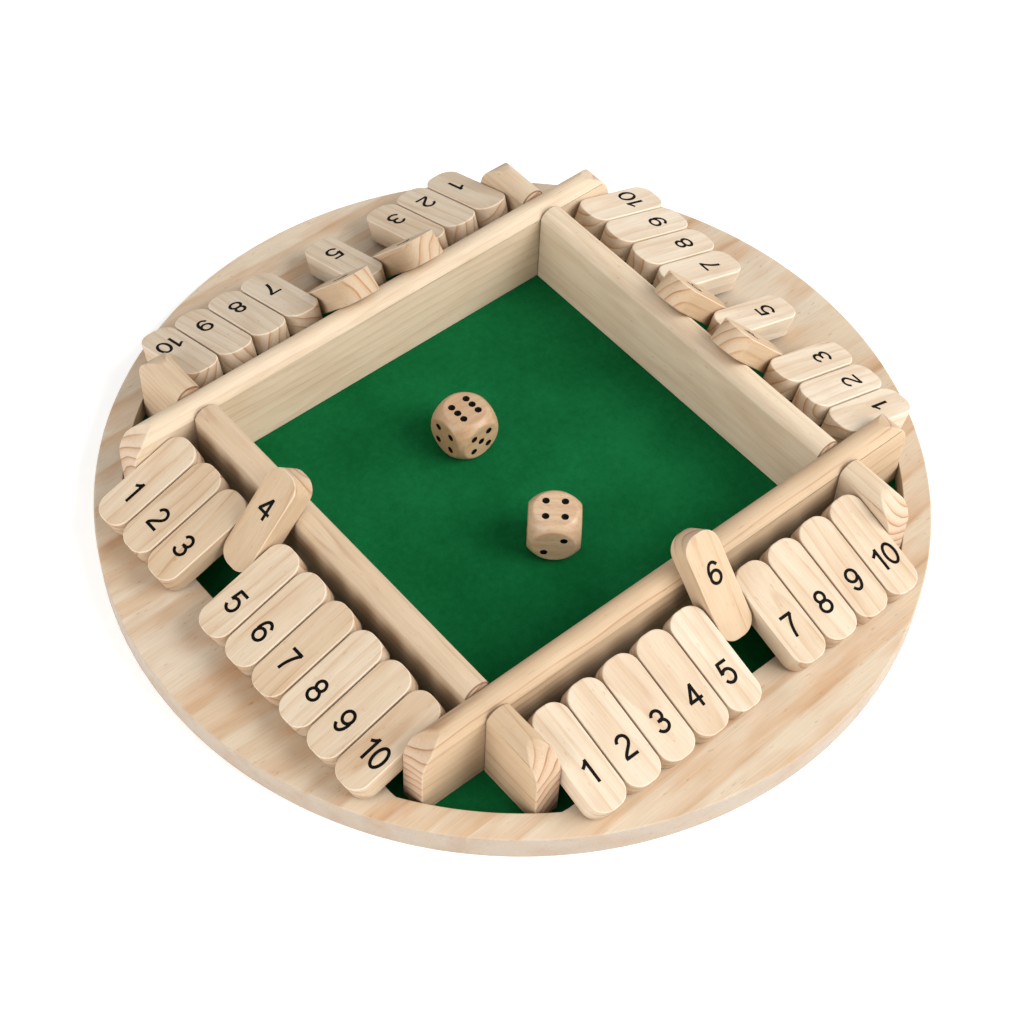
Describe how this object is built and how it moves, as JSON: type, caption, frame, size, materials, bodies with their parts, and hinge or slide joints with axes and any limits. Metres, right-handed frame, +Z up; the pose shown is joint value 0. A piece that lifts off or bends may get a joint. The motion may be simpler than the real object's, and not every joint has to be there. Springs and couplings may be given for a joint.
{
  "type": "shut the box game",
  "caption": "Round wooden dice-game board with a felt-lined well, a square frame of walls and rows of numbered tiles that flip over on rods round it.",
  "frame": {"origin": "middle of the board's flat underside, on the table", "axes": "+Z up, square to the felt; X along the two long walls and Y across them; tile 1 of the south row is at its -X end"},
  "size_m": [0.3, 0.3, 0.0522],
  "materials": {
    "board_pine": "sanded, clear matt",
    "frame_pine": "sanded, clear matt",
    "tile_pine": "sanded, clear matt",
    "panel_plywood": "raw plywood",
    "dice_beech": "polished, black pips",
    "green_felt": "short pile",
    "rod_steel": "drawn wire"
  },
  "bodies": {
    "board": {"rim_board": "board_pine", "base_panel": "panel_plywood", "felt": "green_felt", "wall_north": "frame_pine", "wall_east": "frame_pine", "wall_south": "frame_pine", "wall_west": "frame_pine", "block_northeast": "frame_pine", "block_southeast": "frame_pine", "block_southwest": "frame_pine", "block_northwest": "frame_pine", "rod_north": "rod_steel", "rod_east": "rod_steel", "rod_south": "rod_steel", "rod_west": "rod_steel"},
    "tile_north_1": {"tile_north_1": "tile_pine"},
    "tile_north_2": {"tile_north_2": "tile_pine"},
    "tile_north_3": {"tile_north_3": "tile_pine"},
    "tile_north_4": {"tile_north_4": "tile_pine"},
    "tile_north_5": {"tile_north_5": "tile_pine"},
    "tile_north_6": {"tile_north_6": "tile_pine"},
    "tile_north_7": {"tile_north_7": "tile_pine"},
    "tile_north_8": {"tile_north_8": "tile_pine"},
    "tile_north_9": {"tile_north_9": "tile_pine"},
    "tile_north_10": {"tile_north_10": "tile_pine"},
    "tile_east_1": {"tile_east_1": "tile_pine"},
    "tile_east_2": {"tile_east_2": "tile_pine"},
    "tile_east_3": {"tile_east_3": "tile_pine"},
    "tile_east_4": {"tile_east_4": "tile_pine"},
    "tile_east_5": {"tile_east_5": "tile_pine"},
    "tile_east_6": {"tile_east_6": "tile_pine"},
    "tile_east_7": {"tile_east_7": "tile_pine"},
    "tile_east_8": {"tile_east_8": "tile_pine"},
    "tile_east_9": {"tile_east_9": "tile_pine"},
    "tile_east_10": {"tile_east_10": "tile_pine"},
    "tile_south_1": {"tile_south_1": "tile_pine"},
    "tile_south_2": {"tile_south_2": "tile_pine"},
    "tile_south_3": {"tile_south_3": "tile_pine"},
    "tile_south_4": {"tile_south_4": "tile_pine"},
    "tile_south_5": {"tile_south_5": "tile_pine"},
    "tile_south_6": {"tile_south_6": "tile_pine"},
    "tile_south_7": {"tile_south_7": "tile_pine"},
    "tile_south_8": {"tile_south_8": "tile_pine"},
    "tile_south_9": {"tile_south_9": "tile_pine"},
    "tile_south_10": {"tile_south_10": "tile_pine"},
    "tile_west_1": {"tile_west_1": "tile_pine"},
    "tile_west_2": {"tile_west_2": "tile_pine"},
    "tile_west_3": {"tile_west_3": "tile_pine"},
    "tile_west_4": {"tile_west_4": "tile_pine"},
    "tile_west_5": {"tile_west_5": "tile_pine"},
    "tile_west_6": {"tile_west_6": "tile_pine"},
    "tile_west_7": {"tile_west_7": "tile_pine"},
    "tile_west_8": {"tile_west_8": "tile_pine"},
    "tile_west_9": {"tile_west_9": "tile_pine"},
    "tile_west_10": {"tile_west_10": "tile_pine"},
    "die_1": {"die_1": "dice_beech"},
    "die_2": {"die_2": "dice_beech"}
  },
  "joints": [
    {"name": "tile_north_1_turn", "type": "hinge", "parent": "board", "child": "tile_north_1", "pos_m": [0.0675, 0.09888, 0.0259], "axis": [1, 0, 0], "range_deg": [0, 151.02]},
    {"name": "tile_north_2_turn", "type": "hinge", "parent": "board", "child": "tile_north_2", "pos_m": [0.0525, 0.09888, 0.0259], "axis": [1, 0, 0], "range_deg": [0, 151.02]},
    {"name": "tile_north_3_turn", "type": "hinge", "parent": "board", "child": "tile_north_3", "pos_m": [0.0375, 0.09888, 0.0259], "axis": [1, 0, 0], "range_deg": [0, 151.02]},
    {"name": "tile_north_4_turn", "type": "hinge", "parent": "board", "child": "tile_north_4", "pos_m": [0.0225, 0.09888, 0.0259], "axis": [1, 0, 0], "range_deg": [-151.02, 0]},
    {"name": "tile_north_5_turn", "type": "hinge", "parent": "board", "child": "tile_north_5", "pos_m": [0.0075, 0.09888, 0.0259], "axis": [1, 0, 0], "range_deg": [0, 151.02]},
    {"name": "tile_north_6_turn", "type": "hinge", "parent": "board", "child": "tile_north_6", "pos_m": [-0.0075, 0.09888, 0.0259], "axis": [1, 0, 0], "range_deg": [-151.02, 0]},
    {"name": "tile_north_7_turn", "type": "hinge", "parent": "board", "child": "tile_north_7", "pos_m": [-0.0225, 0.09888, 0.0259], "axis": [1, 0, 0], "range_deg": [0, 151.02]},
    {"name": "tile_north_8_turn", "type": "hinge", "parent": "board", "child": "tile_north_8", "pos_m": [-0.0375, 0.09888, 0.0259], "axis": [1, 0, 0], "range_deg": [0, 151.02]},
    {"name": "tile_north_9_turn", "type": "hinge", "parent": "board", "child": "tile_north_9", "pos_m": [-0.0525, 0.09888, 0.0259], "axis": [1, 0, 0], "range_deg": [0, 151.02]},
    {"name": "tile_north_10_turn", "type": "hinge", "parent": "board", "child": "tile_north_10", "pos_m": [-0.0675, 0.09888, 0.0259], "axis": [1, 0, 0], "range_deg": [0, 151.02]},
    {"name": "tile_east_1_turn", "type": "hinge", "parent": "board", "child": "tile_east_1", "pos_m": [0.09888, -0.0675, 0.0259], "axis": [0, -1, 0], "range_deg": [0, 151.02]},
    {"name": "tile_east_2_turn", "type": "hinge", "parent": "board", "child": "tile_east_2", "pos_m": [0.09888, -0.0525, 0.0259], "axis": [0, -1, 0], "range_deg": [0, 151.02]},
    {"name": "tile_east_3_turn", "type": "hinge", "parent": "board", "child": "tile_east_3", "pos_m": [0.09888, -0.0375, 0.0259], "axis": [0, -1, 0], "range_deg": [0, 151.02]},
    {"name": "tile_east_4_turn", "type": "hinge", "parent": "board", "child": "tile_east_4", "pos_m": [0.09888, -0.0225, 0.0259], "axis": [0, -1, 0], "range_deg": [-151.02, 0]},
    {"name": "tile_east_5_turn", "type": "hinge", "parent": "board", "child": "tile_east_5", "pos_m": [0.09888, -0.0075, 0.0259], "axis": [0, -1, 0], "range_deg": [0, 151.02]},
    {"name": "tile_east_6_turn", "type": "hinge", "parent": "board", "child": "tile_east_6", "pos_m": [0.09888, 0.0075, 0.0259], "axis": [0, -1, 0], "range_deg": [-151.02, 0]},
    {"name": "tile_east_7_turn", "type": "hinge", "parent": "board", "child": "tile_east_7", "pos_m": [0.09888, 0.0225, 0.0259], "axis": [0, -1, 0], "range_deg": [0, 151.02]},
    {"name": "tile_east_8_turn", "type": "hinge", "parent": "board", "child": "tile_east_8", "pos_m": [0.09888, 0.0375, 0.0259], "axis": [0, -1, 0], "range_deg": [0, 151.02]},
    {"name": "tile_east_9_turn", "type": "hinge", "parent": "board", "child": "tile_east_9", "pos_m": [0.09888, 0.0525, 0.0259], "axis": [0, -1, 0], "range_deg": [0, 151.02]},
    {"name": "tile_east_10_turn", "type": "hinge", "parent": "board", "child": "tile_east_10", "pos_m": [0.09888, 0.0675, 0.0259], "axis": [0, -1, 0], "range_deg": [0, 151.02]},
    {"name": "tile_south_1_turn", "type": "hinge", "parent": "board", "child": "tile_south_1", "pos_m": [-0.0675, -0.09888, 0.0259], "axis": [-1, 0, 0], "range_deg": [0, 151.02]},
    {"name": "tile_south_2_turn", "type": "hinge", "parent": "board", "child": "tile_south_2", "pos_m": [-0.0525, -0.09888, 0.0259], "axis": [-1, 0, 0], "range_deg": [0, 151.02]},
    {"name": "tile_south_3_turn", "type": "hinge", "parent": "board", "child": "tile_south_3", "pos_m": [-0.0375, -0.09888, 0.0259], "axis": [-1, 0, 0], "range_deg": [0, 151.02]},
    {"name": "tile_south_4_turn", "type": "hinge", "parent": "board", "child": "tile_south_4", "pos_m": [-0.0225, -0.09888, 0.0259], "axis": [-1, 0, 0], "range_deg": [0, 151.02]},
    {"name": "tile_south_5_turn", "type": "hinge", "parent": "board", "child": "tile_south_5", "pos_m": [-0.0075, -0.09888, 0.0259], "axis": [-1, 0, 0], "range_deg": [0, 151.02]},
    {"name": "tile_south_6_turn", "type": "hinge", "parent": "board", "child": "tile_south_6", "pos_m": [0.0075, -0.09888, 0.0259], "axis": [-1, 0, 0], "range_deg": [-151.02, 0]},
    {"name": "tile_south_7_turn", "type": "hinge", "parent": "board", "child": "tile_south_7", "pos_m": [0.0225, -0.09888, 0.0259], "axis": [-1, 0, 0], "range_deg": [0, 151.02]},
    {"name": "tile_south_8_turn", "type": "hinge", "parent": "board", "child": "tile_south_8", "pos_m": [0.0375, -0.09888, 0.0259], "axis": [-1, 0, 0], "range_deg": [0, 151.02]},
    {"name": "tile_south_9_turn", "type": "hinge", "parent": "board", "child": "tile_south_9", "pos_m": [0.0525, -0.09888, 0.0259], "axis": [-1, 0, 0], "range_deg": [0, 151.02]},
    {"name": "tile_south_10_turn", "type": "hinge", "parent": "board", "child": "tile_south_10", "pos_m": [0.0675, -0.09888, 0.0259], "axis": [-1, 0, 0], "range_deg": [0, 151.02]},
    {"name": "tile_west_1_turn", "type": "hinge", "parent": "board", "child": "tile_west_1", "pos_m": [-0.09888, 0.0675, 0.0259], "axis": [0, 1, 0], "range_deg": [0, 151.02]},
    {"name": "tile_west_2_turn", "type": "hinge", "parent": "board", "child": "tile_west_2", "pos_m": [-0.09888, 0.0525, 0.0259], "axis": [0, 1, 0], "range_deg": [0, 151.02]},
    {"name": "tile_west_3_turn", "type": "hinge", "parent": "board", "child": "tile_west_3", "pos_m": [-0.09888, 0.0375, 0.0259], "axis": [0, 1, 0], "range_deg": [0, 151.02]},
    {"name": "tile_west_4_turn", "type": "hinge", "parent": "board", "child": "tile_west_4", "pos_m": [-0.09888, 0.0225, 0.0259], "axis": [0, 1, 0], "range_deg": [-151.02, 0]},
    {"name": "tile_west_5_turn", "type": "hinge", "parent": "board", "child": "tile_west_5", "pos_m": [-0.09888, 0.0075, 0.0259], "axis": [0, 1, 0], "range_deg": [0, 151.02]},
    {"name": "tile_west_6_turn", "type": "hinge", "parent": "board", "child": "tile_west_6", "pos_m": [-0.09888, -0.0075, 0.0259], "axis": [0, 1, 0], "range_deg": [0, 151.02]},
    {"name": "tile_west_7_turn", "type": "hinge", "parent": "board", "child": "tile_west_7", "pos_m": [-0.09888, -0.0225, 0.0259], "axis": [0, 1, 0], "range_deg": [0, 151.02]},
    {"name": "tile_west_8_turn", "type": "hinge", "parent": "board", "child": "tile_west_8", "pos_m": [-0.09888, -0.0375, 0.0259], "axis": [0, 1, 0], "range_deg": [0, 151.02]},
    {"name": "tile_west_9_turn", "type": "hinge", "parent": "board", "child": "tile_west_9", "pos_m": [-0.09888, -0.0525, 0.0259], "axis": [0, 1, 0], "range_deg": [0, 151.02]},
    {"name": "tile_west_10_turn", "type": "hinge", "parent": "board", "child": "tile_west_10", "pos_m": [-0.09888, -0.0675, 0.0259], "axis": [0, 1, 0], "range_deg": [0, 151.02]},
    {"name": "die_1_lift", "type": "slide", "parent": "board", "child": "die_1", "axis": [0, 0, 1], "range_m": [0, 0.06]},
    {"name": "die_2_lift", "type": "slide", "parent": "board", "child": "die_2", "axis": [0, 0, 1], "range_m": [0, 0.06]}
  ]
}
